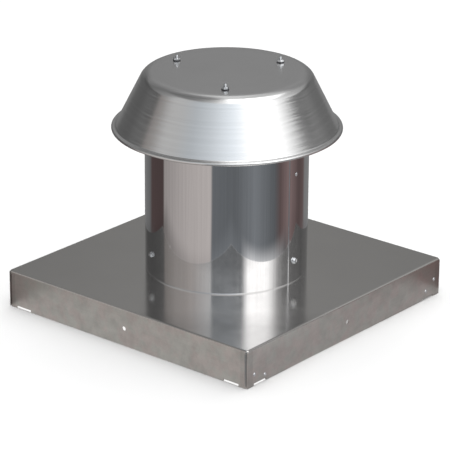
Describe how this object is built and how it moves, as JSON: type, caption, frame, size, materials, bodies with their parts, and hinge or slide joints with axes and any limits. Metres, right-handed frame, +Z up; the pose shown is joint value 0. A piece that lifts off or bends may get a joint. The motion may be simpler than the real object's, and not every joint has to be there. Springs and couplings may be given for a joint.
{
  "type": "roof vent cap",
  "caption": "Curb-mounted roof vent cap: spun aluminium hood on a round throat over a square folded curb cap, with a bird screen and a backdraft damper.",
  "frame": {"origin": "middle of the square foot of the skirts, on the plane of their lower edge", "axes": "+Z up through the throat; +X and +Y square to the skirts, with the front skirt facing -Y and the damper's rod along X"},
  "size_m": [0.4826, 0.4848, 0.3893],
  "materials": {
    "mill_finish_aluminium": "mill finish sheet, semi-gloss, handling marks on the skirts",
    "rolled_bright_aluminium": "bright rolled sheet, near mirror",
    "spun_aluminium": "spun satin with fine rings",
    "galvanised_steel": "galvanised sheet, soft spangle",
    "galvanised_wire": "welded and galvanised wire",
    "plated_steel": "bright zinc plated",
    "spring_steel": "oiled spring steel",
    "rivet_aluminium": "satin",
    "blade_aluminium": "mill finish sheet",
    "black_foam": "closed-cell foam",
    "sealing_rubber": "matte rubber"
  },
  "bodies": {
    "housing": {"curb_cap": "mill_finish_aluminium", "collar": "mill_finish_aluminium", "throat": "rolled_bright_aluminium", "hood": "spun_aluminium", "hood_bracket_1": "galvanised_steel", "hood_bracket_2": "galvanised_steel", "hood_bracket_3": "galvanised_steel", "damper_frame": "galvanised_steel", "damper_seal": "black_foam", "damper_rod": "plated_steel", "damper_stop": "galvanised_steel", "damper_spring_front": "spring_steel", "damper_spring_rear": "spring_steel", "bird_screen": "galvanised_wire", "screen_ring": "galvanised_steel", "corner_rivets": "rivet_aluminium", "seam_rivets": "rivet_aluminium", "throat_screws": "plated_steel", "bracket_rivets": "rivet_aluminium", "hood_bolts": "plated_steel", "hood_nuts": "plated_steel", "hood_sealing_washers": "sealing_rubber", "screen_rivets": "rivet_aluminium", "rod_retainers": "spring_steel", "stop_rivets": "rivet_aluminium"},
    "front_blade": {"damper_blade_front": "blade_aluminium"},
    "rear_blade": {"damper_blade_rear": "blade_aluminium"}
  },
  "joints": [
    {"name": "front_blade_hinge", "type": "hinge", "parent": "housing", "child": "front_blade", "pos_m": [0, 0, 0.11663], "axis": [-1, 0, 0], "range_deg": [0, 78], "stiffness_Nm_per_rad": 0.02, "springref_deg": -20.05, "deforming": ["damper_spring_front"]},
    {"name": "rear_blade_hinge", "type": "hinge", "parent": "housing", "child": "rear_blade", "pos_m": [0, 0, 0.11663], "axis": [1, 0, 0], "range_deg": [0, 78], "stiffness_Nm_per_rad": 0.02, "springref_deg": -20.05, "deforming": ["damper_spring_rear"]}
  ]
}
